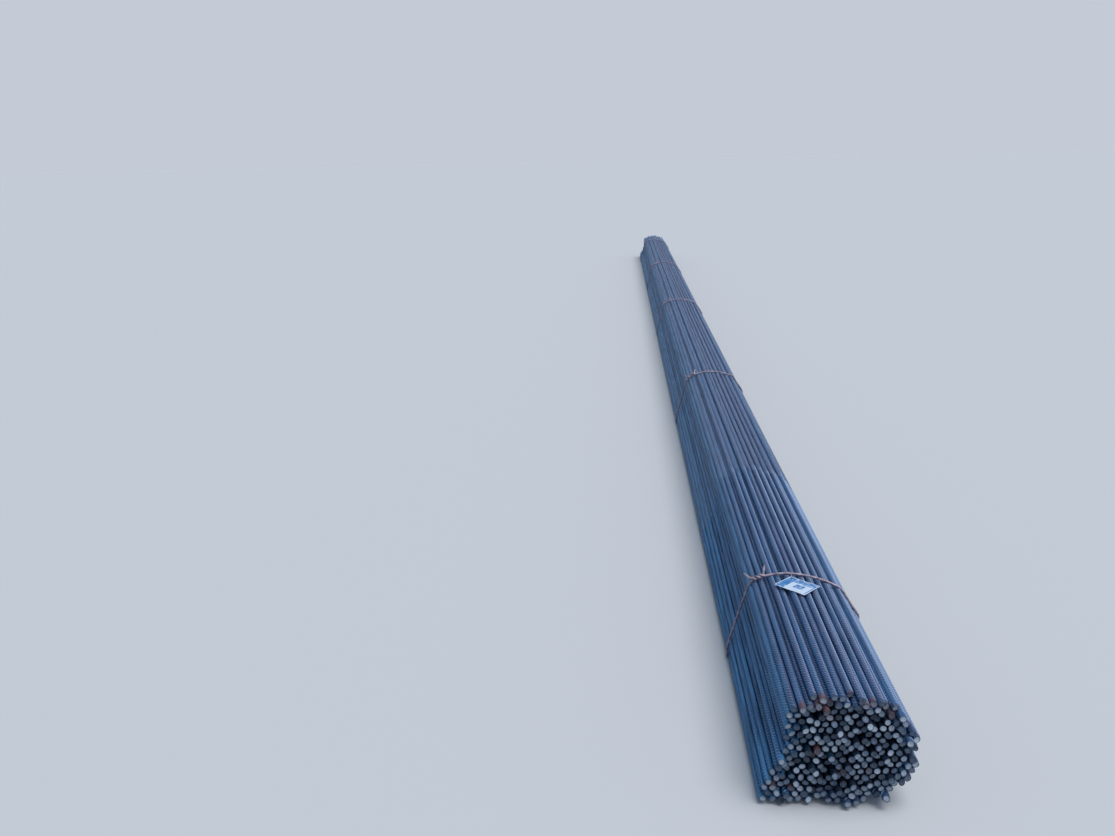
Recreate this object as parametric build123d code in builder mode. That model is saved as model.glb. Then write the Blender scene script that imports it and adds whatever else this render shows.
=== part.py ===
from build123d import *

import heapq
import math
import os
import random

# A mill bundle of straight ribbed reinforcing bars, held by twisted wire ties.
# The bars run along Y and the end that carries the tag faces -Y.
# The origin is on the ground under the middle of the bundle, with Z up.
# All sizes are in millimetres.

# Bars: a round bar of the nominal size, drawn with few sides and the same area
bar_diameter = 14.0
bar_sides = 12
bar_length = 9000.0
end_stagger = 12.0
end_stagger_power = 3
rib_gap_min = 0.42
rib_gap_max = 0.72
floor_row_spread = 3.0

# Section of the bundle, seen from the tagged end
bundle_width = 285.0
bundle_height = 228.0
foot_width = 26.0
foot_height = 58.0
foot_top_rise = 6.5
left_flank_lean = 13.0
left_shoulder_width = 18.0
left_shoulder_drop = 44.0
left_top_drop = 15.0
top_peak_offset = 22.0
right_shoulder_offset = 95.0
right_shoulder_drop = 22.0
right_edge_height = 98.0
bottom_right_width = 46.0
outline_slack = 0.01

# Wire ties
tie_count = 5
tie_end_distance = 490.0
tie_wire_diameter = 5.5
tie_wire_sides = 6
tie_seat_gap = 0.4
tie_arc_step = 20.0
tagged_tie_skew = 11.0
other_tie_skew = 5.0
knot_direction = 118.0
knot_shift = 12.0
knot_twist_length = 32.0
knot_turns = 1.5
knot_join_angle = 120.0
knot_strand_gap = 0.5
knot_points = 12
knot_end_length = 26.0
knot_end_splay = 65.0
knot_end_rise = 20.0

# Tag and the small ring that hangs it from the tie
tag_width = 62.0
tag_length = 78.0
tag_thickness = 0.5
tag_gap = 0.3
tag_turn = 45.0
tag_corner_radius = 3.0
tag_hole_diameter = 5.0
tag_hole_margin = 7.0
tag_hole_reach = 19.0
tag_side_offset = -14.0
tag_ring_wire_diameter = 1.2
tag_ring_radius = 4.2
tag_ring_bends = 6

seed = 42

# Derived sizes
bar_radius = bar_diameter / 2
bar_area = math.pi * bar_radius**2
bar_corner_radius = math.sqrt(2 * bar_area / (bar_sides * math.sin(2 * math.pi / bar_sides)))
tie_wire_radius = tie_wire_diameter / 2
tie_reach = bar_radius + tie_seat_gap + tie_wire_radius
floor_height = 2 * tie_wire_radius + tie_seat_gap
half_width = bundle_width / 2
row_height = (bar_diameter + rib_gap_min) * math.sin(math.radians(60))
os.makedirs("parts", exist_ok=True)


def touching_spots(first, second, reach):
    """Both places for a bar that lies at one reach from two others."""
    dx = second[0] - first[0]
    dz = second[1] - first[1]
    span = math.hypot(dx, dz)
    if span == 0 or span > 2 * reach:
        return []
    rise = math.sqrt(reach**2 - span**2 / 4)
    mid = ((first[0] + second[0]) / 2, (first[1] + second[1]) / 2)
    side = (-dz / span * rise, dx / span * rise)
    return [(mid[0] + side[0], mid[1] + side[1]), (mid[0] - side[0], mid[1] - side[1])]


def stack_bars(outline, rng):
    """Bar centres: a loose row on the floor, then always the lowest free pocket."""
    floor_z = floor_height + bar_radius
    spacing = bar_diameter + rib_gap_max
    placed = []
    pockets = []

    def is_free(spot):
        clear = bar_diameter + rib_gap_min - 1e-6
        return all(math.hypot(spot[0] - x, spot[1] - z) >= clear for x, z in placed)

    def place(spot):
        reach = bar_diameter + rng.uniform(rib_gap_min, rib_gap_max)
        for other in placed:
            for pocket in touching_spots(spot, other, reach):
                if pocket[1] > floor_z - 1e-6:
                    heapq.heappush(pockets, (pocket[1], pocket[0]))
        placed.append(spot)

    row = [bar_radius - half_width]
    while row[-1] + spacing + floor_row_spread <= bottom_right_width:
        row.append(row[-1] + spacing + rng.uniform(0, floor_row_spread))
    slack = (bottom_right_width - row[-1]) / (len(row) - 1)
    for k, x in enumerate(row):
        place((x + slack * k, floor_z))
    while pockets:
        z, x = heapq.heappop(pockets)
        if outline.is_inside(Vector(x, z)) and is_free((x, z)):
            place((x, z))
    return placed


def convex_hull(points):
    """Corners of the convex outline, counter-clockwise from the left."""
    ordered = sorted(set(points))

    def half(run):
        chain = []
        for p in run:
            while len(chain) > 1:
                (ax, az), (bx, bz) = chain[-2:]
                if (bx - ax) * (p[1] - az) - (bz - az) * (p[0] - ax) > 0:
                    break
                chain.pop()
            chain.append(p)
        return chain[:-1]

    return half(ordered) + half(reversed(ordered))


# Outline of the bundle's cross-section: a low foot at the left, a leaning left flank,
# a crowned top and a round right flank. The bar centres stay one bar radius inside it.
left_edge = -half_width
flank_foot = left_edge + foot_width
flank_head = flank_foot + left_flank_lean
top_line = floor_height + bundle_height
left_shoulder = (flank_head + left_shoulder_width, top_line - left_top_drop)
right_shoulder = (right_shoulder_offset, top_line - right_shoulder_drop)
right_foot = (bottom_right_width, floor_height)
with BuildSketch() as section:
    with BuildLine():
        Polyline(
            right_foot,
            (left_edge, floor_height),
            (left_edge, floor_height + foot_height),
            (flank_foot, floor_height + foot_height + foot_top_rise),
            (flank_head, top_line - left_shoulder_drop),
            left_shoulder,
        )
        ThreePointArc(left_shoulder, (top_peak_offset, top_line), right_shoulder)
        ThreePointArc(right_shoulder, (half_width, floor_height + right_edge_height), right_foot)
    make_face()
with BuildSketch() as centre_zone:
    add(section.sketch)
    offset(amount=outline_slack - bar_radius, kind=Kind.INTERSECTION)

rng = random.Random(seed)
raw_centres = stack_bars(centre_zone.sketch.faces()[0], rng)
middle = (min(x for x, z in raw_centres) + max(x for x, z in raw_centres)) / 2
bar_centres = [(x - middle, z) for x, z in raw_centres]

# One bar, centred on its own length
with BuildPart() as bar:
    with BuildSketch(Plane.XZ):
        RegularPolygon(bar_corner_radius, bar_sides)
    extrude(amount=bar_length / 2, both=True)

# The stack of bars, one node for each layer, with every bar slid along by its own amount
layers = {}
for x, z in bar_centres:
    row = int((z - floor_height - bar_radius) / row_height + 0.5)
    layers.setdefault(row, []).append((x, z))
for number, row in enumerate(sorted(layers), start=1):
    last = max(len(layers[row]) - 1, 1)
    slides = [end_stagger * (2 * k / last - 1) ** end_stagger_power for k in range(last + 1)]
    random.Random(seed + row).shuffle(slides)
    with BuildPart() as bar_layer:
        with Locations(*[(x, slide, z) for (x, z), slide in zip(layers[row], slides)]):
            add(bar.part)
    name = f"bar_layer_{number:02d}"
    bar_layer.part.label = name
    export_step(bar_layer.part, f"parts/{name}.step")

# Wire ties: the loop follows the outermost bars, and its ends are twisted together
arc_angles = [math.radians(a * tie_arc_step) for a in range(round(360 / tie_arc_step))]
knot_normal = (math.cos(math.radians(knot_direction)), math.sin(math.radians(knot_direction)))
knot_along = (knot_normal[1], -knot_normal[0])
strand_radius = tie_wire_radius + knot_strand_gap / 2
knot_reach = bar_radius + tie_seat_gap + 2 * tie_wire_radius + knot_strand_gap / 2


def across_knot(centre):
    return centre[0] * knot_normal[0] + centre[1] * knot_normal[1]


knot_bar = max(bar_centres, key=across_knot)
knot_middle = (
    knot_bar[0] + knot_normal[0] * knot_reach + knot_along[0] * knot_shift,
    knot_bar[1] + knot_normal[1] * knot_reach + knot_along[1] * knot_shift,
)


def knot_spot(along, outward):
    """Point of the cross-section, measured along the twist and outward from its middle."""
    return (
        knot_middle[0] + knot_along[0] * along + knot_normal[0] * outward,
        knot_middle[1] + knot_along[1] * along + knot_normal[1] * outward,
    )


def tie_loop():
    """The wire's run round the bars, from the right end of the twist to its left end."""
    join_height = strand_radius * math.cos(math.radians(knot_join_angle))
    right = knot_spot(knot_twist_length / 2, join_height)
    left = knot_spot(-knot_twist_length / 2, join_height)
    around = [
        (x + tie_reach * math.cos(a), z + tie_reach * math.sin(a))
        for x, z in bar_centres
        for a in arc_angles
    ]
    loop = convex_hull(around + [left, right])
    start = loop.index(right)
    from_twist = loop[start:] + loop[:start]
    return from_twist[:1:-1]


def twist_strand(phase):
    """One strand, left to right, as (along, outward, sideways) from the twist's middle."""
    strand = []
    for step in range(knot_points + 1):
        left_over = 1 - step / knot_points
        angle = phase + 2 * math.pi * knot_turns * left_over
        along = knot_twist_length * (0.5 - left_over)
        strand.append((along, strand_radius * math.cos(angle), strand_radius * math.sin(angle)))
    return strand


def free_end(last, direction):
    """Tip of a cut wire end that leaves the twist upward and away from the tagged end."""
    splay = math.radians(knot_end_splay)
    rise = math.radians(knot_end_rise)
    level = knot_end_length * math.cos(rise)
    return (
        last[0] + direction * level * math.cos(splay),
        last[1] + knot_end_length * math.sin(rise),
        last[2] + level * math.sin(splay),
    )


def tie_path(station, skew):
    """All points of one tie's wire, in space, from one cut end to the other."""
    slope = math.tan(math.radians(skew))

    def in_space(x, z, sideways=0.0):
        return (x, station - x * slope + sideways, z)

    def from_knot(point):
        along, outward, sideways = point
        return in_space(*knot_spot(along, outward), sideways)

    join_phase = -math.radians(knot_join_angle)
    first = twist_strand(join_phase)
    second = twist_strand(join_phase + math.pi)
    first = [free_end(first[0], -1)] + first
    second = second + [free_end(second[-1], 1)]
    around = [in_space(x, z) for x, z in tie_loop()]
    return [from_knot(p) for p in first] + around + [from_knot(p) for p in second]


tie_spacing = (bar_length - 2 * tie_end_distance) / (tie_count - 1)
for number in range(tie_count):
    station = tie_end_distance - bar_length / 2 + number * tie_spacing
    skew = tagged_tie_skew if number == 0 else rng.uniform(-other_tie_skew, other_tie_skew)
    with BuildPart() as tie:
        with BuildLine() as wire_line:
            Polyline(*tie_path(station, skew))
        with BuildSketch(Plane(origin=wire_line.line @ 0, z_dir=wire_line.line % 0)):
            RegularPolygon(tie_wire_radius, tie_wire_sides)
        sweep(path=wire_line.line, transition=Transition.RIGHT)
    name = f"tie_wire_{number + 1}"
    tie.part.label = name
    export_step(tie.part, f"parts/{name}.step")

# The tag lies on the two uppermost bars at its place, in front of the first tie.
# Its hole is over the valley beside the left one of them.
hull = convex_hull(bar_centres)
left_bar, right_bar = next(
    (left, right)
    for right, left in zip(hull, hull[1:] + hull[:1])
    if left[0] <= tag_side_offset < right[0]
)
across = Vector(right_bar[0] - left_bar[0], 0, right_bar[1] - left_bar[1]).normalized()
upward = Vector(-across.Z, 0, across.X)
towards_end = Vector(0, -1, 0)
valley_side = Vector(left_bar[0], 0, left_bar[1]).dot(across) + (bar_diameter + rib_gap_max) / 2
tagged_path = tie_path(tie_end_distance - bar_length / 2, tagged_tie_skew)
wire_run = [Vector(*point) for point in tagged_path[knot_points + 1 :]]
before, after = next(
    (a, b) for a, b in zip(wire_run, wire_run[1:]) if a.dot(across) <= valley_side < b.dot(across)
)
share = (valley_side - before.dot(across)) / (after - before).dot(across)
wire_over_valley = before + (after - before) * share
wire_height = wire_over_valley.dot(upward) - Vector(left_bar[0], 0, left_bar[1]).dot(upward)
tag_height = bar_radius + tag_gap
tag_hole = wire_over_valley + upward * (tag_height - wire_height) + towards_end * tag_hole_reach
tag_long_side = across * math.cos(math.radians(tag_turn)) + towards_end * math.sin(math.radians(tag_turn))

with BuildPart() as tag:
    with BuildSketch(Plane(origin=tag_hole, x_dir=tag_long_side, z_dir=upward)):
        with Locations((tag_length / 2 - tag_hole_margin, tag_hole_margin - tag_width / 2)):
            RectangleRounded(tag_length, tag_width, tag_corner_radius)
        Circle(tag_hole_diameter / 2, mode=Mode.SUBTRACT)
    extrude(amount=tag_thickness)
tag.part.label = "tag"
export_step(tag.part, "parts/tag.step")

# The ring is an oval of thin wire round the tie and through the hole of the tag
ring_drop = wire_height - tag_height - tag_thickness / 2
ring_run = tag_hole_reach - math.sqrt(tag_ring_radius**2 - ring_drop**2)
ring_plane = Plane(origin=wire_over_valley, x_dir=towards_end, z_dir=-across)
bend_angles = [math.pi * k / tag_ring_bends for k in range(tag_ring_bends + 1)]
bend = [(tag_ring_radius * math.sin(a), tag_ring_radius * math.cos(a)) for a in bend_angles]
far_bend = [(ring_run + along, height) for along, height in bend]
near_bend = [(-along, -height) for along, height in bend]
with BuildPart() as tag_ring:
    with BuildLine(ring_plane) as ring_line:
        Polyline((ring_run / 2, tag_ring_radius), *far_bend, *near_bend, close=True)
    with BuildSketch(Plane(origin=ring_line.line @ 0, z_dir=ring_line.line % 0)):
        RegularPolygon(tag_ring_wire_diameter / 2, tie_wire_sides)
    sweep(path=ring_line.line, transition=Transition.RIGHT)
tag_ring.part.label = "tag_ring"
export_step(tag_ring.part, "parts/tag_ring.step")
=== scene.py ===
import math

import bmesh
import bpy
import numpy as np
from bpy.props import FloatProperty, FloatVectorProperty, IntProperty, PointerProperty
from mathutils import Matrix, Vector


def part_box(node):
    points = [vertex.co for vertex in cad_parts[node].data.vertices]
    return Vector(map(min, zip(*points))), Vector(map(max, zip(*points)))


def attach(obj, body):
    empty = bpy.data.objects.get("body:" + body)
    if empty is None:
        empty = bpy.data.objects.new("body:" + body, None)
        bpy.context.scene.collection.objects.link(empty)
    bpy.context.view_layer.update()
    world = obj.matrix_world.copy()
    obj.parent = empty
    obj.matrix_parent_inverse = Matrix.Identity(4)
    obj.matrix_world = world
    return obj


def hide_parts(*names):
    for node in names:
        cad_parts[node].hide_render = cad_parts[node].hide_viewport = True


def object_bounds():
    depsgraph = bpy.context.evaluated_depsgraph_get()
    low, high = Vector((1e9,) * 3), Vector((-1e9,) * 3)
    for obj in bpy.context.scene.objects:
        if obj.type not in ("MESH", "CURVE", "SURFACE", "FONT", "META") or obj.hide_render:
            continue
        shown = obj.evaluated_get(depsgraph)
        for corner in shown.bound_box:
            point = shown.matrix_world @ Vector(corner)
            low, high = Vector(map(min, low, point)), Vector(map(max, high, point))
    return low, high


bl_info = {
    "name": "Rebar Bundle Dresser",
    "version": (1, 0, 0),
    "blender": (4, 5, 0),
    "location": "View3D > Sidebar > Rebar Bundle",
    "description": "Gives a packed bundle of ribbed bars its ribs, ends, ties, tag and finishes",
    "category": "Object",
}

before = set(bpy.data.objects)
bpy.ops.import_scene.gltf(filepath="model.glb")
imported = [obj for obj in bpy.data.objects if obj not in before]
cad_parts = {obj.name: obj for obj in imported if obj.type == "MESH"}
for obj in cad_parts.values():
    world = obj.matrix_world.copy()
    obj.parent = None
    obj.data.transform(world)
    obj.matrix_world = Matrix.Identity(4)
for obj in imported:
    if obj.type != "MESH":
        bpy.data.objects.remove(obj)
CAD_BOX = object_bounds()
BODY = "root"
MM = 0.001
BAR_NODES = sorted(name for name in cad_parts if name.startswith("bar_layer"))
TIE_NODES = sorted(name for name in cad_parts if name.startswith("tie_wire"))
NEAR_END = CAD_BOX[0].y
FAR_END = CAD_BOX[1].y
# Distance of the outermost ties from the ends of the bundle
TIE_FROM_END = 0.49
# The kinds of shell that a bar is made of
SKIN, CUT, RIB = 0, 1, 2
# Where the rain and the light come from, along X and Z: above and a little to the right. Faces turned away
# get painted shade
RAIN_AND_LIGHT_FROM = (0.4, 0.92)


def linear(hex_colour):
    """Turn an sRGB hex colour into the linear colour that the shaders work in."""
    channels = [int(hex_colour[i : i + 2], 16) / 255 for i in (1, 3, 5)]
    return tuple(c / 12.92 if c <= 0.04045 else ((c + 0.055) / 1.055) ** 2.4 for c in channels)


def rgba(colour):
    """A linear colour with full alpha."""
    return (*colour, 1.0)


def colour_property(name, description, hex_colour):
    """A colour setting whose default is an sRGB hex value."""
    return FloatVectorProperty(name=name, description=description, default=linear(hex_colour), size=3,
                               min=0.0, max=1.0, subtype="COLOR")


def length_property(name, description, default):
    """A length setting in metres."""
    return FloatProperty(name=name, description=description, default=default, min=0.0, subtype="DISTANCE",
                         unit="LENGTH", precision=4)


class RebarBarSettings(bpy.types.PropertyGroup):
    """Sizes and colours of the bars."""

    core_radius: length_property("Core radius", "Radius of the bar between its ribs", 6.6 * MM)
    rib_height: length_property("Rib height", "Height of a transverse rib over the core", 1.4 * MM)
    rib_spacing: length_property("Rib spacing", "Distance from one transverse rib to the next", 8.6 * MM)
    rib_half_base: length_property("Rib half base", "Half of the width of a rib at its foot", 1.35 * MM)
    rib_slant: FloatProperty(name="Rib slant", description="Lean of the ribs across the bar",
                             default=math.radians(32), subtype="ANGLE")
    rib_reach: FloatProperty(name="Rib reach", description="Half of the arc that one rib covers",
                             default=math.radians(82), subtype="ANGLE")
    seam_height: length_property("Seam height", "Height of the two ribs along the bar", 0.9 * MM)
    cut_bevel: length_property("Cut bevel", "How far the edge of a sheared end is broken", 0.8 * MM)
    cut_slope: FloatProperty(name="Cut slope", description="Largest slope of a sheared end",
                             default=0.26, min=0.0)
    cut_squash: FloatProperty(name="Cut squash", description="Share by which the shear squashes an end",
                              default=0.07, min=0.0, subtype="FACTOR")
    cut_dent: length_property("Cut dent", "Depth of the torn middle of a sheared end", 0.5 * MM)
    ribbed_near: length_property("Ribs at tagged end", "Length with modelled ribs", 1.25)
    ribbed_far: length_property("Ribs at far end", "Length with modelled ribs", 0.3)
    end_opening: FloatProperty(name="End opening", description="Share by which the free ends open out",
                               default=0.016, min=0.0, subtype="FACTOR")
    wave: length_property("Waviness", "How far an outer bar strays from a straight line", 0.9 * MM)
    rusty_share: FloatProperty(name="Rusty ends", description="Share of the upper outer bars with rusty ends",
                               default=0.4, min=0.0, max=1.0, subtype="FACTOR")
    scale_dark: colour_property("Scale, dark", "Mill scale in the shade of its streaks", "#0b2442")
    scale_mid: colour_property("Scale, middle", "Most of the mill scale", "#285078")
    scale_light: colour_property("Scale, light", "Rubbed mill scale", "#5179a2")
    # Bluer copy of the scale, painted shade for the downward faces and the left flank
    cool_shade_dark: colour_property("Side, dark", "Sheltered scale in the shade of its streaks", "#062b4d")
    cool_shade_pale: colour_property("Side, light", "Sheltered scale where it is rubbed", "#5aa3da")
    scale_brown: colour_property("Scale, brown", "Mill scale with a breath of rust", "#5c5f80")
    # Near-black painted shade for the bars inside the bundle, standing for the shade in the gaps between bars
    inside_shade_colour: colour_property("Scale, inside", "Scale of the bars inside the bundle", "#0c1420")
    rib_crest: colour_property("Rib crests", "Scale that the ribs' crests have been rubbed to", "#9bb3d3")
    rust: colour_property("Rust", "Rust on some of the bar ends", "#70504e")
    # The end colours also carry the painted highlight in the middle of each cut and the painted shade at its
    # rim
    end_dark: colour_property("End, dark", "Dulled sheared end", "#1e2b3b")
    end_mid: colour_property("End, middle", "Most of the sheared ends", "#66788f")
    end_light: colour_property("End, light", "Bright sheared ends", "#c6d1de")
    seed: IntProperty(name="Seed", description="Start of the random draws", default=5)


class RebarTieSettings(bpy.types.PropertyGroup):
    """Finish of the wire ties and of the tag's ring."""

    swell: length_property("Swell", "Growth that makes the smoothed wire full size again", 0.5 * MM)
    wire_dark: colour_property("Wire, dark", "Rod in its darker stretches", "#796c7b")
    wire_light: colour_property("Wire, light", "Rod in its paler stretches", "#b8a9b3")
    ring_colour: colour_property("Ring", "Thin wire of the tag's ring", "#a9adb8")


class RebarTagSettings(bpy.types.PropertyGroup):
    """Sizes and colours of the tag."""

    curl: length_property("Curl", "Rise of the tag's free corners", 5.0 * MM)
    coat: colour_property("Coat", "White coat of the tag", "#d9e8fa")
    ink: colour_property("Ink", "Blue print of the tag", "#1e73b6")


class RebarStageSettings(bpy.types.PropertyGroup):
    """Camera, floor and light."""

    lens: FloatProperty(name="Lens", description="Focal length", default=30.4, unit="CAMERA")
    pitch: FloatProperty(name="Pitch", description="How far the camera looks down",
                         default=math.radians(16.0), subtype="ANGLE")
    yaw: FloatProperty(name="Yaw", description="Turn of the camera to the left of the bars",
                       default=math.radians(3.77), subtype="ANGLE")
    roll: FloatProperty(name="Roll", description="Lean of the camera",
                        default=math.radians(-1.26), subtype="ANGLE")
    aside: length_property("Aside", "Distance of the camera to the left of the bundle", 0.400)
    ahead: length_property("Ahead", "Distance of the camera in front of the tagged end", 1.480)
    height: length_property("Height", "Height of the camera over the floor", 1.174)
    floor_colour: colour_property("Floor", "Pale floor", "#d2d2d3")
    floor_bounce: colour_property("Floor bounce", "What the floor throws back", "#3c4756")
    sky_colour: colour_property("Sky", "Pale surroundings", "#c4cbd7")
    sky_light: colour_property("Sky light", "Cool light of the clouded sky", "#97b6d8")


SETTINGS = {
    "rebar_bars": RebarBarSettings,
    "rebar_ties": RebarTieSettings,
    "rebar_tag": RebarTagSettings,
    "rebar_stage": RebarStageSettings,
}


def settings(name):
    """One of this file's groups of settings, as the scene holds it."""
    return getattr(bpy.context.scene, name)


def new_material(name):
    """Make an empty node material and return it with its node tree."""
    material = bpy.data.materials.new(name)
    material.use_nodes = True
    material.node_tree.nodes.clear()
    return material, material.node_tree


def add_node(tree, kind, inputs=None, **options):
    """Add one shader node, set its options, and fill or link its inputs."""
    made = tree.nodes.new("ShaderNode" + kind)
    for option, value in options.items():
        setattr(made, option, value)
    for key, value in (inputs or {}).items():
        if isinstance(value, bpy.types.NodeSocket):
            tree.links.new(value, made.inputs[key])
        else:
            made.inputs[key].default_value = value
    return made


def colour_steps(tree, factor, steps):
    """A colour ramp over (position, colour) steps."""
    ramp = add_node(tree, "ValToRGB", {"Fac": factor})
    elements = ramp.color_ramp.elements
    while len(elements) < len(steps):
        elements.new(1.0)
    for element, (position, colour) in zip(elements, steps):
        element.position = position
        element.color = rgba(colour)
    return ramp.outputs["Color"]


def mix_colour(tree, factor, first, second):
    """The first colour where the factor is 0, the second where it is 1."""
    mixed = add_node(tree, "Mix", {"Factor": factor}, data_type="RGBA")
    for socket, value in ((mixed.inputs[6], first), (mixed.inputs[7], second)):
        if isinstance(value, bpy.types.NodeSocket):
            tree.links.new(value, socket)
        else:
            socket.default_value = rgba(value)
    return mixed.outputs[2]


def finish_material(tree, inputs):
    """Add the surface shader and the output."""
    surface = add_node(tree, "BsdfPrincipled", inputs)
    add_node(tree, "OutputMaterial", {"Surface": surface.outputs["BSDF"]})


def streaked_scale(tree, s, place, tone, blotches):
    """The scale's blue-grey: drawn out in streaks, with a bluer copy painted on as shade on the downward
    faces and the left flank, and brown on top.
    """
    # Streaks are about 5 mm wide and 150 mm long
    drawn = add_node(tree, "Mapping", {"Vector": place, "Scale": (1000 / 5, 1000 / 150, 1000 / 5)})
    streaks = add_node(tree, "TexNoise", {"Vector": drawn.outputs["Vector"], "Scale": 1.0, "Detail": 3.0,
                                          "Roughness": 0.6})
    # Each bar's tone makes all of its scale darker or lighter
    spread = add_node(tree, "Math", {0: tone, 1: 0.22}, operation="MULTIPLY")
    streaked = add_node(tree, "Math", {0: streaks.outputs["Fac"], 1: 0.9, 2: spread.outputs[0]},
                        operation="MULTIPLY_ADD")
    centred = add_node(tree, "Math", {0: streaked.outputs[0], 1: 0.07}, operation="SUBTRACT").outputs[0]
    scale = colour_steps(tree, centred, [(0.22, s.scale_dark), (0.50, s.scale_mid), (0.80, s.scale_light)])
    side = colour_steps(tree, centred, [(0.28, s.cool_shade_dark), (0.74, s.cool_shade_pale)])
    # Rain and light come from above and from the right; the faces turned away from them, the downward faces
    # and the whole left flank, get a bluer copy of the scale as painted shade
    rain_and_light = add_node(tree, "Attribute", attribute_name="bar_facing_rain_and_light").outputs["Fac"]
    cool_shade_share = add_node(tree, "MapRange", {"Value": rain_and_light, "From Min": 0.65, "From Max": 0.2,
                                            "To Max": 0.8})
    scale = mix_colour(tree, cool_shade_share.outputs["Result"], scale, side)
    # The bars whose tone is low have browned most
    browning = add_node(tree, "Math", {0: tone, 1: -0.5, 2: 1.05}, operation="MULTIPLY_ADD")
    brown_share = add_node(tree, "Math", {0: blotches, 1: browning.outputs[0]}, operation="MULTIPLY")
    brown_amount = add_node(tree, "MapRange", {"Value": brown_share.outputs[0], "From Min": 0.15,
                                               "From Max": 0.5, "To Max": 0.8})
    wetted = add_node(tree, "MapRange", {"Value": rain_and_light, "From Min": 0.2, "From Max": 0.75})
    browned = add_node(tree, "Math", {0: brown_amount.outputs["Result"], 1: wetted.outputs["Result"]},
                       operation="MULTIPLY")
    return mix_colour(tree, browned.outputs[0], scale, s.scale_brown)


def rib_bands(tree, s, split, tone):
    """Slanted bands at the rib spacing, which stand for the ribs between the two lengths that have them."""
    across, along = split.outputs["X"], split.outputs["Y"]
    slope = 0.6
    slanted = add_node(tree, "Math", {0: across, 1: slope, 2: along}, operation="MULTIPLY_ADD")
    # Each bar's own tone moves its bands along, so that neighbours don't line up
    moved = add_node(tree, "Math", {0: tone, 1: 0.5, 2: slanted.outputs[0]}, operation="MULTIPLY_ADD")
    radians_per_metre = 2 * math.pi / s.rib_spacing
    wound = add_node(tree, "Math", {0: moved.outputs[0], 1: radians_per_metre}, operation="MULTIPLY")
    waves = add_node(tree, "Math", {0: wound.outputs[0]}, operation="SINE")
    crests = add_node(tree, "MapRange", {"Value": waves.outputs[0], "From Min": 0.5, "From Max": 1.0})
    overlap = 0.02
    start, stop = NEAR_END + s.ribbed_near - overlap, FAR_END - s.ribbed_far + overlap
    started = add_node(tree, "Math", {0: along, 1: start}, operation="GREATER_THAN")
    not_over = add_node(tree, "Math", {0: along, 1: stop}, operation="LESS_THAN")
    between = add_node(tree, "Math", {0: started.outputs[0], 1: not_over.outputs[0]}, operation="MULTIPLY")
    bands = add_node(tree, "Math", {0: crests.outputs["Result"], 1: between.outputs[0]}, operation="MULTIPLY")
    return bands.outputs[0]


def rust_at_cuts(tree, split, blotches):
    """How far the scale has rusted, on the rusty bars and within about 30 mm of their cuts."""
    rusty = add_node(tree, "Attribute", attribute_name="bar_rust").outputs["Fac"]
    from_middle = add_node(tree, "Math", {0: split.outputs["Y"]}, operation="ABSOLUTE")
    starts, full = FAR_END - 0.045, FAR_END - 0.012
    near_cut = add_node(tree, "MapRange", {"Value": from_middle.outputs[0], "From Min": starts,
                                           "From Max": full})
    rust_here = add_node(tree, "Math", {0: near_cut.outputs["Result"], 1: rusty}, operation="MULTIPLY")
    patches = add_node(tree, "Math", {0: rust_here.outputs[0], 1: blotches}, operation="MULTIPLY")
    amount = add_node(tree, "MapRange", {"Value": patches.outputs[0], "From Min": 0.12, "From Max": 0.4,
                                         "To Max": 0.85})
    return amount.outputs["Result"]


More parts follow.
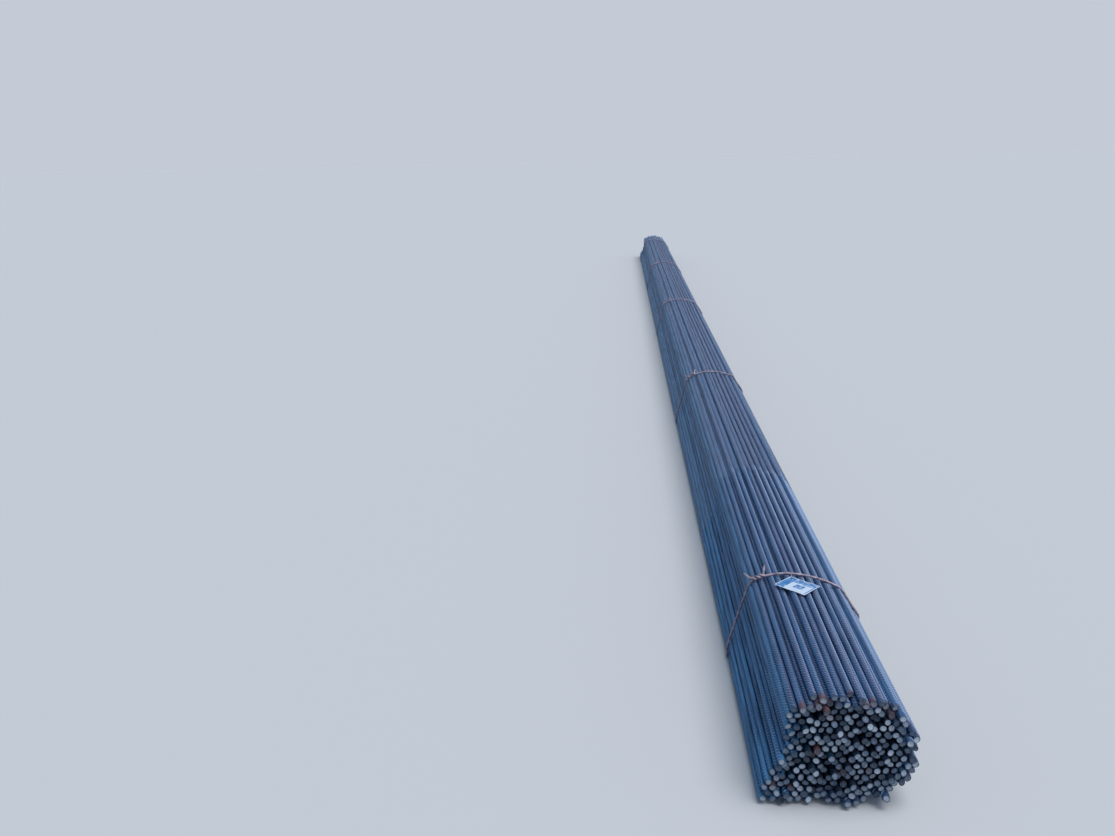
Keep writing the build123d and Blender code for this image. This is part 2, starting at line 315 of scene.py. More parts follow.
def hot_rolled_scale():
    """Hot-rolled steel under its mill scale.

    The scale is a hard blue-grey skin with a dull shine, drawn out in streaks along the bar by the rolls,
    rubbed paler on high spots and turning brown where rust starts, most of all near the cut ends.
    Painted shade is mixed in: a bluer copy on the downward faces and the left flank, near-black inside the
    bundle.
    """
    s = settings("rebar_bars")
    material, tree = new_material("hot_rolled_mill_scale")
    place = add_node(tree, "TexCoord").outputs["Object"]
    split = add_node(tree, "SeparateXYZ", {"Vector": place})
    tone = add_node(tree, "Attribute", attribute_name="bar_tone").outputs["Fac"]
    # Blotches of rubbed or rusting scale are about 20 mm wide and 60 mm long
    blotched = add_node(tree, "Mapping", {"Vector": place, "Scale": (1000 / 20, 1000 / 60, 1000 / 20)})
    blotches = add_node(tree, "TexNoise", {"Vector": blotched.outputs["Vector"], "Scale": 1.0, "Detail": 4.0})
    blotches = blotches.outputs["Fac"]
    colour = streaked_scale(tree, s, place, tone, blotches)
    # Dried mud and scuffs leave pale specks of about 4 mm, few and scattered
    speckled = add_node(tree, "TexNoise", {"Vector": place, "Scale": 1000 / 4, "Detail": 1.0})
    specks = add_node(tree, "MapRange", {"Value": speckled.outputs["Fac"], "From Min": 0.70, "From Max": 0.76,
                                         "To Max": 0.6})
    colour = mix_colour(tree, specks.outputs["Result"], colour, s.rib_crest)
    # Ribs are rubbed pale on their crests
    modelled = add_node(tree, "Attribute", attribute_name="rib_crest").outputs["Fac"]
    bands = rib_bands(tree, s, split, tone)
    crests = add_node(tree, "Math", {0: modelled, 1: bands}, operation="MAXIMUM")
    rubbed = add_node(tree, "Math", {0: crests.outputs[0], 1: 0.9}, operation="MULTIPLY")
    colour = mix_colour(tree, rubbed.outputs[0], colour, s.rib_crest)
    # Painted shade: the bars inside the bundle are darkened towards near-black, which stands for the shade in
    # the gaps between the bars
    inside = add_node(tree, "Attribute", attribute_name="bar_inside_shade").outputs["Fac"]
    darkened = add_node(tree, "Math", {0: inside, 1: 0.8}, operation="MULTIPLY")
    colour = mix_colour(tree, darkened.outputs[0], colour, s.inside_shade_colour)
    colour = mix_colour(tree, rust_at_cuts(tree, split, blotches), colour, s.rust)

    # The grain of the scale is under 1 mm and is drawn at 1.5 mm, the finest that shows
    grain = add_node(tree, "TexNoise", {"Vector": place, "Scale": 1000 / 1.5, "Detail": 2.0})
    roughness = add_node(tree, "MapRange", {"Value": grain.outputs["Fac"], "To Min": 0.42, "To Max": 0.62})
    rib_bump = add_node(tree, "Bump", {"Height": bands, "Distance": s.rib_height, "Strength": 1.0})
    bump = add_node(tree, "Bump", {"Height": grain.outputs["Fac"], "Distance": 0.25 * MM, "Strength": 0.6,
                                   "Normal": rib_bump.outputs["Normal"]})
    finish_material(tree, {"Base Color": colour, "Metallic": 0.3, "Roughness": roughness.outputs["Result"],
                           "Specular IOR Level": 0.22, "Normal": bump.outputs["Normal"]})
    return material


def sheared_steel():
    """Bar ends cut by a shear.

    The cut is bare steel, paler than the scale, half torn and half smeared, and it has dulled by a
    different amount on every bar. Some have begun to rust. Each cut also has a painted highlight in its
    middle and painted shade at its rim.
    """
    s = settings("rebar_bars")
    material, tree = new_material("sheared_bar_steel")
    place = add_node(tree, "TexCoord").outputs["Object"]
    tone = add_node(tree, "Attribute", attribute_name="bar_tone").outputs["Fac"]
    rusty = add_node(tree, "Attribute", attribute_name="bar_rust").outputs["Fac"]
    # Torn grains of the cut are about 3 mm across
    torn = add_node(tree, "TexNoise", {"Vector": place, "Scale": 1000 / 3, "Detail": 5.0, "Roughness": 0.65})
    # Painted highlight: the middle of a cut is the brightest, on a spot that differs from bar to bar, and its
    # rim is painted darker as shade
    highlight = add_node(tree, "Attribute", attribute_name="cut_highlight").outputs["Fac"]
    lifted = add_node(tree, "Math", {0: tone, 1: 0.8}, operation="POWER")
    spread = add_node(tree, "Math", {0: highlight, 1: lifted.outputs[0]}, operation="MULTIPLY")
    mixed = add_node(tree, "Math", {0: torn.outputs["Fac"], 1: 0.9, 2: spread.outputs[0]},
                     operation="MULTIPLY_ADD")
    level = add_node(tree, "Math", {0: mixed.outputs[0], 1: 0.36}, operation="SUBTRACT")
    steel = colour_steps(tree, level.outputs[0], [(0.04, s.end_dark), (0.42, s.end_mid), (0.95, s.end_light)])
    rust_level = add_node(tree, "Math", {0: rusty, 1: 0.4}, operation="MULTIPLY")
    colour = mix_colour(tree, rust_level.outputs[0], steel, s.rust)
    bump = add_node(tree, "Bump", {"Height": torn.outputs["Fac"], "Distance": 0.8 * MM, "Strength": 0.8})
    finish_material(tree, {"Base Color": colour, "Metallic": 0.2, "Roughness": 0.6,
                           "Normal": bump.outputs["Normal"]})
    return material


def wire_rod():
    """Soft annealed wire rod: dull grey scale under a thin brown rust that lies in patches."""
    s = settings("rebar_ties")
    material, tree = new_material("annealed_wire_rod")
    place = add_node(tree, "TexCoord").outputs["Object"]
    # Rust patches on the rod are about 12 mm long, and its grain is drawn at 1.5 mm, the finest that shows
    patches = add_node(tree, "TexNoise", {"Vector": place, "Scale": 1000 / 12, "Detail": 4.0})
    grain = add_node(tree, "TexNoise", {"Vector": place, "Scale": 1000 / 1.5, "Detail": 2.0})
    colour = colour_steps(tree, patches.outputs["Fac"], [(0.36, s.wire_dark), (0.62, s.wire_light)])
    bump = add_node(tree, "Bump", {"Height": grain.outputs["Fac"], "Distance": 0.3 * MM, "Strength": 0.6})
    finish_material(tree, {"Base Color": colour, "Metallic": 0.3, "Roughness": 0.5,
                           "Normal": bump.outputs["Normal"]})
    return material


def galvanised_wire():
    """Thin wire dipped in zinc: pale grey with a soft shine that varies a little along the wire."""
    s = settings("rebar_ties")
    material, tree = new_material("galvanised_thin_wire")
    place = add_node(tree, "TexCoord").outputs["Object"]
    # Zinc crystals on so thin a wire are about 2 mm long
    spangle = add_node(tree, "TexNoise", {"Vector": place, "Scale": 1000 / 2, "Detail": 2.0})
    roughness = add_node(tree, "MapRange", {"Value": spangle.outputs["Fac"], "To Min": 0.3, "To Max": 0.5})
    finish_material(tree, {"Base Color": rgba(s.ring_colour), "Metallic": 0.8,
                           "Roughness": roughness.outputs["Result"]})
    return material


def band(tree, value, low, high):
    """1 between two values, 0 elsewhere."""
    over = add_node(tree, "Math", {0: value, 1: low}, operation="GREATER_THAN")
    under = add_node(tree, "Math", {0: value, 1: high}, operation="LESS_THAN")
    return add_node(tree, "Math", {0: over.outputs[0], 1: under.outputs[0]}, operation="MULTIPLY").outputs[0]


def tag_print(tree, spot):
    """Where the tag is printed: two rows and a block of dashes, and a bar along its free edge."""
    split = add_node(tree, "SeparateXYZ", {"Vector": spot})
    along, across, face = split.outputs["X"], split.outputs["Y"], split.outputs["Z"]
    # All places are in mm from the corner by the hole. Print is broken into dashes by a noise with cells of
    # 9 mm along a row and 3 mm across it
    dashes = {}
    for row, scale, least in (("long", (1 / 9, 1 / 3, 1.0), 0.42), ("cross", (1 / 3, 1 / 9, 1.0), 0.36)):
        cells = add_node(tree, "Mapping", {"Vector": spot, "Scale": scale})
        noise = add_node(tree, "TexNoise", {"Vector": cells.outputs["Vector"], "Scale": 1.0, "Detail": 1.0})
        dashes[row] = band(tree, noise.outputs["Fac"], least, 1.0)
    shapes = [
        [dashes["cross"], band(tree, along, 2.0, 21.0), band(tree, across, 2.0, 60.0)],
        [dashes["long"], band(tree, along, 22.5, 76.0), band(tree, across, 2.0, 21.0)],
        [dashes["long"], band(tree, along, 35.0, 58.0), band(tree, across, 26.0, 45.0)],
        [band(tree, along, 73.0, 75.5), band(tree, across, 22.0, 58.0)],
    ]
    ink = 0.0
    for first, *masks in shapes:
        shape = first
        for mask in masks:
            shape = add_node(tree, "Math", {0: shape, 1: mask}, operation="MULTIPLY").outputs[0]
        ink = add_node(tree, "Math", {0: ink, 1: shape}, operation="MAXIMUM").outputs[0]
    return add_node(tree, "Math", {0: ink, 1: face}, operation="MULTIPLY").outputs[0]


def coated_tag():
    """Thin steel plate with a satin white coat and a plain blue print of bars and blocks."""
    s = settings("rebar_tag")
    material, tree = new_material("coated_tag_plate")
    spot = add_node(tree, "Attribute", attribute_name="tag_mm").outputs["Vector"]
    # Dirt and wear come in patches of about 9 mm
    worn = add_node(tree, "TexNoise", {"Vector": spot, "Scale": 1 / 9, "Detail": 5.0})
    wear = add_node(tree, "MapRange", {"Value": worn.outputs["Fac"], "From Min": 0.3, "From Max": 0.65,
                                       "To Min": 0.82, "To Max": 1.0})
    printed = tag_print(tree, spot)
    amount = add_node(tree, "Math", {0: printed, 1: wear.outputs["Result"]}, operation="MULTIPLY")
    dirty_coat = tuple(c * 0.82 for c in s.coat)
    coat = mix_colour(tree, worn.outputs["Fac"], s.coat, dirty_coat)
    colour = mix_colour(tree, amount.outputs[0], coat, s.ink)
    finish_material(tree, {"Base Color": colour, "Roughness": 0.5, "Specular IOR Level": 0.25})
    return material


def seen_share(tree):
    """1 for what the camera sees directly, in a mirror or through glass, 0 for light that bounces."""
    path = add_node(tree, "LightPath")
    glossy, passed = path.outputs["Is Glossy Ray"], path.outputs["Is Transmission Ray"]
    mirrored = add_node(tree, "Math", {0: glossy, 1: passed}, operation="MAXIMUM")
    return add_node(tree, "Math", {0: path.outputs["Is Camera Ray"], 1: mirrored.outputs[0]},
                    operation="MAXIMUM").outputs[0]


def pale_floor():
    """Plain matt floor, pale to the eye and dark in what it throws back under the bundle."""
    s = settings("rebar_stage")
    material, tree = new_material("pale_floor")
    colour = mix_colour(tree, seen_share(tree), s.floor_bounce, s.floor_colour)
    finish_material(tree, {"Base Color": colour, "Roughness": 0.9, "Specular IOR Level": 0.2})
    return material


def welded_copy(node):
    """A bmesh of a CAD node whose doubled corners are joined."""
    copy = bmesh.new()
    copy.from_mesh(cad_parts[node].data)
    bmesh.ops.remove_doubles(copy, verts=copy.verts, dist=0.001 * MM)
    return copy


def bars_in(node):
    """Centre and ends of every bar in a layer, as rows of x, z, near y, far y."""
    copy = welded_copy(node)
    unseen = set(copy.verts)
    rows = []
    while unseen:
        island = [unseen.pop()]
        for vertex in island:
            for edge in vertex.link_edges:
                other = edge.other_vert(vertex)
                if other in unseen:
                    unseen.remove(other)
                    island.append(other)
        corners = np.array([v.co for v in island])
        low, high = corners.min(0), corners.max(0)
        rows.append(((low[0] + high[0]) / 2, (low[2] + high[2]) / 2, low[1], high[1]))
    copy.free()
    return sorted(rows)


def is_outer(bar, bars, radius):
    """Whether a bar can be seen from outside, by looking for a free way out of the bundle."""
    others = np.array([(b[0] - bar[0], b[1] - bar[1]) for b in bars if b is not bar])
    degrees_apart = 6
    for angle in np.radians(np.arange(0, 360, degrees_apart)):
        way = np.array([math.cos(angle), math.sin(angle)])
        ahead = others @ way
        aside = np.abs(others[:, 0] * way[1] - others[:, 1] * way[0])
        if not np.any((ahead > 0) & (aside < radius)):
            return True
    return False


class BarLine:
    """The gently wavy middle line of one bar, its roll, and what else is drawn by lot for it."""

    def __init__(self, bar, outer, middle, rng, s):
        self.x, self.z, self.near, self.far = bar
        # The bars settle with a rib row outwards, give or take 40 degrees
        outwards = math.atan2(self.z - middle[1], self.x - middle[0])
        self.roll = outwards - math.pi / 2 + rng.uniform(-0.7, 0.7)
        # 0 on the left flank, which gets painted shade and no rain, 1 elsewhere
        self.open_to_rain_and_light = min(max((math.cos(outwards) + 0.8) / 0.15, 0.0), 1.0)
        self.tone = rng.uniform(0, 1)
        # 1 marks a bar inside the bundle, which gets painted shade
        self.inside = 0.0 if outer else 1.0
        # The outer bars in the top 60 mm of the bundle rust most
        top_zone, chance_elsewhere = 0.06, 0.03
        on_top = outer and self.z > CAD_BOX[1].z - top_zone
        chance = s.rusty_share if on_top else chance_elsewhere
        rusty, depth = rng.uniform(0, 1), rng.uniform(0.55, 1.0)
        self.rust = depth if rusty < chance else 0.0
        self.rib_start = rng.uniform(0, s.rib_spacing)
        self.tilts = rng.uniform(-s.cut_slope, s.cut_slope, 4)
        self.phases = rng.uniform(0, 2 * math.pi, 4)
        self.swing = s.wave * rng.uniform(0.4, 1.0) if outer else 0.0
        self.opening = s.end_opening * rng.uniform(0.6, 1.2)
        self.out = (self.x - middle[0], self.z - middle[1])

    def at(self, y):
        """Centre of the bar at each y."""
        # The ends open out past the outermost ties
        past_tie = np.clip((np.abs(y) - (FAR_END - TIE_FROM_END)) / TIE_FROM_END, 0, 1) ** 1.5
        # Waves of about 3 m and 1.3 m
        aside, up = [
            np.sin(y * 2.1 + self.phases[k]) * 0.7 + np.sin(y * 4.7 + self.phases[k + 2]) * 0.3
            for k in (0, 1)
        ]
        x = self.x + self.out[0] * self.opening * past_tie + self.swing * aside
        # The lowest bars don't open downwards into the floor
        rise = np.maximum(self.out[1], 0.0)
        z = self.z + rise * self.opening * past_tie + self.swing * 0.6 * np.abs(up)
        return x, z

    def facing_rain_and_light(self, points):
        """How far each point round the bar faces the rain and the light; faces turned away get painted shade.
        """
        x, z = self.at(points[:, 1])
        aside, up = points[:, 0] - x, points[:, 2] - z
        away = np.maximum(np.hypot(aside, up), 0.1 * MM)
        return self.open_to_rain_and_light * (RAIN_AND_LIGHT_FROM[0] * aside + RAIN_AND_LIGHT_FROM[1] * up) / away


def place_around(line, y, angle, radius):
    """World points at a y, an angle round the bar and a radius."""
    x, z = line.at(y)
    return np.stack([x + radius * np.cos(angle), y, z + radius * np.sin(angle)], axis=-1)


def bar_outline(line, outer, s):
    """Angles and radii round a bar's skin, with the two seams of the outer bars."""
    seam_half_angle = math.radians(9)
    steps = 18 if outer else 14
    angles, radii = [], []
    for k in range(steps):
        angle = 2 * math.pi * k / steps
        if k in (0, steps // 2) and outer:
            angles += [angle - seam_half_angle, angle, angle + seam_half_angle]
            radii += [s.core_radius, s.core_radius + s.seam_height, s.core_radius]
        else:
            angles.append(angle)
            radii.append(s.core_radius)
    return np.array(angles) + line.roll, np.array(radii)


def cut_ring(line, far, angles, radii, s):
    """The rim of a sheared end, which leans a little, is squashed out of round and has lost its edge."""
    tilt = line.tilts[2:] if far else line.tilts[:2]
    lean = s.core_radius * (tilt[0] * np.cos(angles) + tilt[1] * np.sin(angles))
    # The rim moves into the bar by the broken edge and by half of the lean
    into_bar = -1 if far else 1
    shift = into_bar * (s.cut_bevel + np.max(np.abs(lean)) * 0.5)
    y = line.far if far else line.near
    lobes = np.cos(2 * (angles - line.phases[1])) + 0.4 * np.sin(5 * angles + line.phases[2])
    squashed = 1 - s.cut_squash * lobes
    return place_around(line, y + lean + shift, angles, (radii - 0.5 * s.cut_bevel) * squashed)


def bar_skin(line, outer, s):
    """Shell of a bar's skin from cut to cut, swollen to half of the rib height where no ribs are modelled."""
    angles, radii = bar_outline(line, outer, s)
    around = len(angles)
    ends = np.array([7 * MM, 0.09, 0.2, 0.33, TIE_FROM_END])
    spacing = 0.45 if outer else 3.0
    middle = np.arange(line.near + 0.7, line.far - 0.6, spacing)
    # Between the two ribbed lengths the skin swells to half the height of the ribs it stands for
    ramp = 0.06
    ribs_end, ribs_start = line.near + s.ribbed_near, line.far - s.ribbed_far
    ramps = [ribs_end - ramp, ribs_end, ribs_start, ribs_start + ramp]
    stations = np.sort(np.concatenate([line.near + ends, middle, line.far - ends, ramps]))
    rings = [cut_ring(line, False, angles, radii, s)]
    for y in stations:
        bare = min(max((y - ribs_end) / ramp + 1, 0), 1) * min(max((ribs_start - y) / ramp + 1, 0), 1)
        swollen = radii + bare * 0.5 * s.rib_height * outer
        rings.append(place_around(line, np.full(around, y), angles, swollen))
    rings.append(cut_ring(line, True, angles, radii, s))
    faces = []
    for k in range(len(rings) - 1):
        first, second = k * around, (k + 1) * around
        for i in range(around):
            j = (i + 1) % around
            faces.append((first + i, second + i, second + j, first + j))
    count = len(rings) * around
    return np.concatenate(rings), faces, SKIN, np.zeros(count), np.zeros(count)


def bar_cuts(line, outer, s):
    """Shells of the two sheared faces: a rim, an inner ring and a dent in the middle."""
    angles, radii = bar_outline(line, outer, s)
    around = len(angles)
    inner_share, inner_highlight = 0.72, 0.9
    shells = []
    for far in (False, True):
        rim = cut_ring(line, far, angles, radii, s)
        centre = rim.mean(axis=0)
        shift = 0.1 * s.core_radius * np.array([math.cos(line.phases[0]), 0, math.sin(line.phases[0])])
        dent = np.array([0, -s.cut_dent if far else s.cut_dent, 0])
        inner = centre + (rim - centre) * inner_share + shift
        middle = centre + shift + dent
        points = np.concatenate([rim, inner, [middle]])
        faces = [(i, (i + 1) % around, around + (i + 1) % around, around + i) for i in range(around)]
        faces += [(around + i, around + (i + 1) % around, 2 * around) for i in range(around)]
        if far:
            faces = [face[::-1] for face in faces]
        # 0 at the rim and 1 in the middle: how much painted highlight each point of the cut gets
        highlights = np.concatenate([np.zeros(around), np.full(around, inner_highlight), [1.0]])
        shells.append((points, faces, CUT, np.zeros(len(points)), highlights))
    return shells


def rib_template(s, mirrored):
    """One crescent rib as rows of y, angle, radius and crest, with its faces.

    The rib is an open ridge: its two feet are buried in the skin, and it runs to a point at both tips.
    """
    steps = 5
    buried = s.core_radius - 0.35 * MM
    rows = []
    for k in range(steps + 1):
        share = k / steps
        angle = s.rib_reach * (2 * share - 1)
        y = angle * s.core_radius * math.tan(s.rib_slant) * (-1 if mirrored else 1)
        if k in (0, steps):
            rows.append((y, angle, buried, 0))
            continue
        crest = s.core_radius + s.rib_height * math.sin(math.pi * share) ** 0.55
        rows.append((y - s.rib_half_base, angle, buried, 0))
        rows.append((y, angle, crest, 1))
        rows.append((y + s.rib_half_base, angle, buried, 0))
    faces = [(0, 2, 1), (0, 3, 2)]
    for k in range(steps - 2):
        foot, crest, far_foot = 1 + 3 * k, 2 + 3 * k, 3 + 3 * k
        faces += [(foot, crest, crest + 3, foot + 3), (crest, far_foot, far_foot + 3, crest + 3)]
    tip = len(rows) - 1
    faces += [(tip - 3, tip - 2, tip), (tip - 2, tip - 1, tip)]
    return np.array(rows), faces


def bar_ribs(line, s):
    """Shell of all modelled ribs of one bar, in two rows that stand half a spacing apart."""
    clearance = 6 * MM
    near = np.arange(line.near + clearance + line.rib_start, line.near + s.ribbed_near, s.rib_spacing)
    far = np.arange(line.far - s.ribbed_far, line.far - clearance, s.rib_spacing)
    points, faces, crests, count = [], [], [], 0
    for side in (0, 1):
        rows, pattern = rib_template(s, side == 1)
        for y in np.concatenate([near, far]) + side * s.rib_spacing / 2:
            if abs(y) > FAR_END or y > line.far - clearance:
                continue
            angle = rows[:, 1] + line.roll + math.pi / 2 + math.pi * side
            points.append(place_around(line, rows[:, 0] + y, angle, rows[:, 2]))
            faces += [tuple(count + i for i in face) for face in pattern]
            crests.append(rows[:, 3])
            count += len(rows)
    return np.concatenate(points), faces, RIB, np.concatenate(crests), np.zeros(count)


def layer_shells(rows, bars, middle, rng, s):
    """Points, faces, kinds of face and marks on the points for all bars of a layer."""
    points, faces, kinds = [], [], []
    names = ("bar_tone", "bar_facing_rain_and_light", "bar_rust", "bar_inside_shade", "rib_crest", "cut_highlight")
    marks = {name: [] for name in names}
    count = 0
    for bar in rows:
        outer = is_outer(bar, bars, s.core_radius * 0.9)
        line = BarLine(bar, outer, middle, rng, s)
        shells = [bar_skin(line, outer, s), *bar_cuts(line, outer, s)]
        if outer:
            shells.append(bar_ribs(line, s))
        for shell_points, shell_faces, kind, crests, highlights in shells:
            size = len(shell_points)
            points.append(shell_points)
            faces += [tuple(count + i for i in face) for face in shell_faces]
            kinds += [kind] * len(shell_faces)
            count += size
            marks["bar_tone"] += [line.tone] * size
            marks["bar_facing_rain_and_light"] += list(line.facing_rain_and_light(shell_points))
            marks["bar_rust"] += [line.rust] * size
            marks["bar_inside_shade"] += [line.inside] * size
            marks["rib_crest"] += list(crests)
            marks["cut_highlight"] += list(highlights)
    return np.concatenate(points), faces, np.array(kinds), marks


def make_piece(name, points, faces, materials):
    """Make an object that rides on the frame, from points and faces."""
    mesh = bpy.data.meshes.new(name)
    mesh.from_pydata(np.asarray(points).tolist(), [], faces)
    for material in materials:
        mesh.materials.append(material)
    piece = bpy.data.objects.new(name, mesh)
    bpy.context.scene.collection.objects.link(piece)
    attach(piece, BODY)
    return piece


def face_outwards(mesh):
    """Turn a closed shell so that its faces look outwards."""
    shell = bmesh.new()
    shell.from_mesh(mesh)
    bmesh.ops.recalc_face_normals(shell, faces=shell.faces)
    shell.to_mesh(mesh)
    shell.free()


class REBAR_OT_bars(bpy.types.Operator):
    """Replace every layer of plain bars by ribbed bars with sheared ends"""

    bl_idname = "rebar.bars"
    bl_label = "Dress the bars"

    def execute(self, context):
        s = settings("rebar_bars")
        layers = {node: bars_in(node) for node in BAR_NODES}
        bars = [bar for rows in layers.values() for bar in rows]
        if not bars:
            raise RuntimeError("the frame has no bars")
        middle = tuple(np.mean(np.array(bars)[:, :2], axis=0))
        materials = [hot_rolled_scale(), sheared_steel()]
        rng = np.random.default_rng(s.seed)
        for node, rows in layers.items():
            points, faces, kinds, marks = layer_shells(rows, bars, middle, rng, s)
            piece = make_piece(f"ribbed_{node}", points, faces, materials)
            mesh = piece.data
            mesh.polygons.foreach_set("material_index", (kinds == CUT).astype(np.int32))
            mesh.polygons.foreach_set("use_smooth", kinds == SKIN)
            for name, values in marks.items():
                mesh.attributes.new(name, "FLOAT", "POINT").data.foreach_set("value", values)
            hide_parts(node)
        return {"FINISHED"}


def rounded_wire(node, name, swell, material):
    """A smooth round wire made from the few-sided wire of a CAD node."""
    # The triangles are joined back to quads, so that the smoothing follows the wire
    copy = welded_copy(node)
    bmesh.ops.join_triangles(copy, faces=copy.faces, angle_face_threshold=0.2, angle_shape_threshold=3.1)
    plain_mesh = bpy.data.meshes.new(name)
    copy.to_mesh(plain_mesh)
    copy.free()
    piece = bpy.data.objects.new(name, plain_mesh)
    bpy.context.scene.collection.objects.link(piece)
    piece.modifiers.new("Round", "SUBSURF").levels = 2
    round_mesh = bpy.data.meshes.new_from_object(piece.evaluated_get(bpy.context.evaluated_depsgraph_get()))
    piece.modifiers.clear()
    piece.data = round_mesh
    bpy.data.meshes.remove(plain_mesh)
    # The smoothing shrinks the wire, and the swell brings it back
    full = bmesh.new()
    full.from_mesh(round_mesh)
    full.normal_update()
    for vertex in full.verts:
        vertex.co += vertex.normal * swell
    full.to_mesh(round_mesh)
    full.free()
    round_mesh.name = name
    round_mesh.polygons.foreach_set("use_smooth", [True] * len(round_mesh.polygons))
    round_mesh.materials.clear()
    round_mesh.materials.append(material)
    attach(piece, BODY)
    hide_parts(node)


class REBAR_OT_ties(bpy.types.Operator):
    """Round the wire ties with their twisted knots, and the ring of the tag"""

    bl_idname = "rebar.ties"
    bl_label = "Dress the ties"

    def execute(self, context):
        s = settings("rebar_ties")
        rod = wire_rod()
        for node in TIE_NODES:
            rounded_wire(node, f"twisted_{node}", s.swell, rod)
        ring_share = 0.2
        rounded_wire("tag_ring", "oval_tag_ring", s.swell * ring_share, galvanised_wire())
        return {"FINISHED"}


def tag_axes():
    """Middle, long side, short side, normal, length and width of the tag's plate."""
    copy = welded_copy("tag")
    copy.normal_update()
    broad = max(copy.faces, key=lambda face: face.calc_area())
    normal = broad.normal.copy() if broad.normal.z > 0 else -broad.normal
    rims = [e for e in copy.edges if len(e.link_faces) == 2 and e.calc_face_angle(0.0) > 1.4]
    longest = max(rims, key=lambda e: e.calc_length())
    long_side = (longest.verts[1].co - longest.verts[0].co).normalized()
    if long_side.y > 0:
        long_side = -long_side
    short_side = normal.cross(long_side)
    corners = [v.co.copy() for v in copy.verts]
    copy.free()
    middle = Vector((0, 0, 0))
    sizes = []
    for axis in (long_side, short_side, normal):
        reach = [c.dot(axis) for c in corners]
        middle += axis * (min(reach) + max(reach)) / 2
        sizes.append(max(reach) - min(reach))
    return middle, long_side, short_side, normal, sizes


def rounded_outline(length, width, radius, count):
    """Points of a rounded rectangle, one for each of a count of equal turns about its middle."""
    outline = []
    for k in range(count):
        angle = 2 * math.pi * k / count
        way = Vector((math.cos(angle), math.sin(angle)))
        reach = min(length / 2 / max(abs(way.x), 1e-9), width / 2 / max(abs(way.y), 1e-9))
        spot = way * reach
        inner = Vector((length / 2 - radius, width / 2 - radius))
        if abs(spot.x) > inner.x and abs(spot.y) > inner.y:
            centre = Vector((math.copysign(inner.x, spot.x), math.copysign(inner.y, spot.y)))
            spot = centre + (spot - centre).normalized() * radius
        outline.append(spot)
    return outline


def curled_height(spot, hole, length, width, curl):
    """Rise of the plate at a spot: nothing at its hole, most at the free corners, with two soft ripples."""
    away = (spot - hole).length / length
    ripple = math.sin(spot.y / width * 4.2 + 0.6) * 0.25 + math.sin(spot.x / length * 7.0) * 0.12
    return curl * max(0.0, away - 0.12) ** 1.5 * (0.75 + ripple)


def curled_plate(axes, hole, curl):
    """Points and faces of the plate round its hole, and for each point its place on the plate in mm.

    The plate is two sheets of rings that widen from the hole to the outline. The place is measured from
    the corner by the hole, and its third number is 1 on the printed sheet and 0 below.
    """
    middle, long_side, short_side, normal, (length, width, thickness) = axes
    spokes, rings = 120, 26
    hole_radius, corner_radius = 2.5 * MM, 3 * MM
    outline = rounded_outline(length, width, corner_radius, spokes)
    rim = [hole + (spot - hole).normalized() * hole_radius for spot in outline]
    hole_side = Vector((math.copysign(1, hole.x), math.copysign(1, hole.y)))
    points, spots = [], []
    for layer in (1, 0):
        for ring in range(rings + 1):
            for inner, outer in zip(rim, outline):
                spot = inner.lerp(outer, ring / rings)
                height = (layer - 0.5) * thickness + curled_height(spot, hole, length, width, curl)
                points.append(middle + long_side * spot.x + short_side * spot.y + normal * height)
                from_hole_end = length / 2 - spot.x * hole_side.x
                from_hole_edge = width / 2 - spot.y * hole_side.y
                spots.append((from_hole_end / MM, from_hole_edge / MM, float(layer)))
    sheet = (rings + 1) * spokes
    faces = []
    for i in range(spokes):
        j = (i + 1) % spokes
        for ring in range(rings):
            a, b = ring * spokes, (ring + 1) * spokes
            faces.append((a + i, b + i, b + j, a + j))
            faces.append((sheet + a + i, sheet + a + j, sheet + b + j, sheet + b + i))
        edge = rings * spokes
        faces.append((i, j, sheet + j, sheet + i))
        faces.append((edge + j, edge + i, sheet + edge + i, sheet + edge + j))
    return points, faces, spots


class REBAR_OT_tag(bpy.types.Operator):
    """Replace the flat tag by a printed plate that curls a little"""

    bl_idname = "rebar.tag"
    bl_label = "Dress the tag"

    def execute(self, context):
        s = settings("rebar_tag")
        axes = tag_axes()
        middle, long_side, short_side, normal, (length, width, thickness) = axes
        # The hole is in the corner next to the ring
        ring_low, ring_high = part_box("tag_ring")
        to_ring = (ring_low + ring_high) / 2 - middle
        margin = 7 * MM
        hole = Vector((
            math.copysign(length / 2 - margin, to_ring.dot(long_side)),
            math.copysign(width / 2 - margin, to_ring.dot(short_side)),
        ))
        points, faces, spots = curled_plate(axes, hole, s.curl)
        piece = make_piece("curled_tag", points, faces, [coated_tag()])
        mesh = piece.data
        mesh.attributes.new("tag_mm", "FLOAT_VECTOR", "POINT").data.foreach_set("vector", np.ravel(spots))
        face_outwards(mesh)
        mesh.polygons.foreach_set("use_smooth", [True] * len(mesh.polygons))
        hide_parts("tag")
        return {"FINISHED"}


def overcast_sky(s):
    """A clouded sky: pale where the camera sees it, cooler and weaker as a light."""
    world = bpy.data.worlds.new("overcast_sky")
    world.use_nodes = True
    tree = world.node_tree
    tree.nodes.clear()
    seen = seen_share(tree)
    strength = add_node(tree, "MapRange", {"Value": seen, "To Min": 0.5, "To Max": 1.0})
    colour = mix_colour(tree, seen, s.sky_light, s.sky_colour)
    sky = add_node(tree, "Background", {"Color": colour, "Strength": strength.outputs["Result"]})
    add_node(tree, "OutputWorld", {"Surface": sky.outputs["Background"]})
    return world


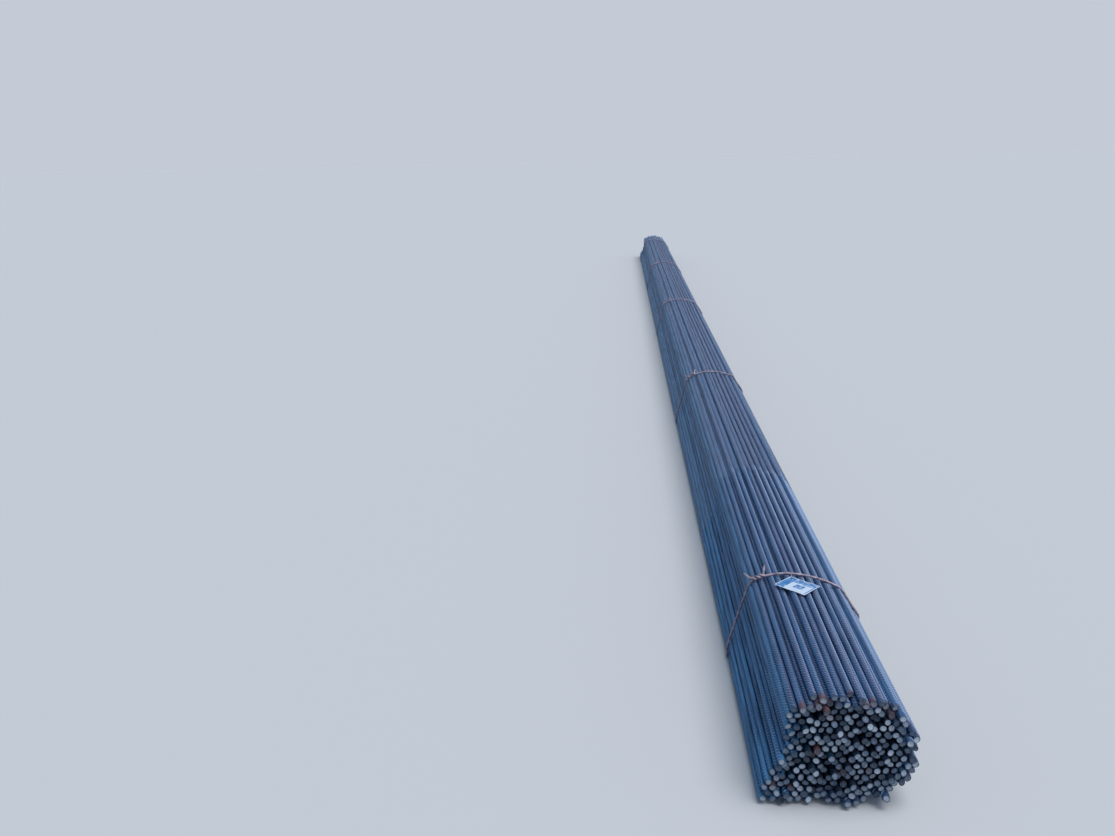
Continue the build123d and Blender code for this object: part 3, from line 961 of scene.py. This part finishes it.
class REBAR_OT_stage(bpy.types.Operator):
    """Set the camera, the soft light and the pale floor"""

    bl_idname = "rebar.stage"
    bl_label = "Set the stage"

    def execute(self, context):
        s = settings("rebar_stage")
        scene = context.scene
        half = 90.0
        corners = [(-half, -half, 0), (half, -half, 0), (half, half, 0), (-half, half, 0)]
        mesh = bpy.data.meshes.new("floor")
        mesh.from_pydata(corners, [], [(0, 1, 2, 3)])
        mesh.materials.append(pale_floor())
        floor = bpy.data.objects.new("floor", mesh)
        scene.collection.objects.link(floor)
        scene.world = overcast_sky(s)

        # Name, energy, tilt from straight down, turn, and how wide the light is
        for name, energy, tilt, turn, angle in (
            ("soft_top_light", 2.1, 20, 70, 40),
            ("soft_front_light", 0.35, 62, 20, 40),
        ):
            data = bpy.data.lights.new(name, "SUN")
            data.energy = energy
            data.angle = math.radians(angle)
            lamp = bpy.data.objects.new(name, data)
            lamp.rotation_euler = (math.radians(tilt), 0, math.radians(turn))
            scene.collection.objects.link(lamp)

        data = bpy.data.cameras.new("photo_camera")
        data.lens = s.lens
        data.sensor_width = 36.0
        camera = bpy.data.objects.new("photo_camera", data)
        place = Matrix.Translation((-s.aside, NEAR_END - s.ahead, s.height))
        turn = Matrix.Rotation(s.yaw, 4, "Z") @ Matrix.Rotation(math.pi / 2 - s.pitch, 4, "X")
        camera.matrix_world = place @ turn @ Matrix.Rotation(s.roll, 4, "Z")
        scene.collection.objects.link(camera)
        scene.camera = camera
        scene.view_settings.view_transform = "Standard"
        return {"FINISHED"}


OPERATORS = (REBAR_OT_bars, REBAR_OT_ties, REBAR_OT_tag, REBAR_OT_stage)


class REBAR_PT_panel(bpy.types.Panel):
    """Lists the settings and the steps that dress the bundle"""

    bl_idname = "REBAR_PT_panel"
    bl_label = "Rebar Bundle"
    bl_space_type = "VIEW_3D"
    bl_region_type = "UI"
    bl_category = "Rebar Bundle"

    def draw(self, context):
        for group, operator in zip(SETTINGS, OPERATORS):
            box = self.layout.box()
            box.operator(operator.bl_idname)
            owner = getattr(context.scene, group)
            for prop in SETTINGS[group].__annotations__:
                box.prop(owner, prop)


CLASSES = (*SETTINGS.values(), *OPERATORS, REBAR_PT_panel)


def register():
    for cls in CLASSES:
        bpy.utils.register_class(cls)
    for name, group in SETTINGS.items():
        setattr(bpy.types.Scene, name, PointerProperty(type=group))


def unregister():
    for name in SETTINGS:
        delattr(bpy.types.Scene, name)
    for cls in reversed(CLASSES):
        bpy.utils.unregister_class(cls)


def main():
    register()
    bpy.ops.rebar.bars()
    bpy.ops.rebar.ties()
    bpy.ops.rebar.tag()
    bpy.ops.rebar.stage()


if __name__ == "__main__":
    main()
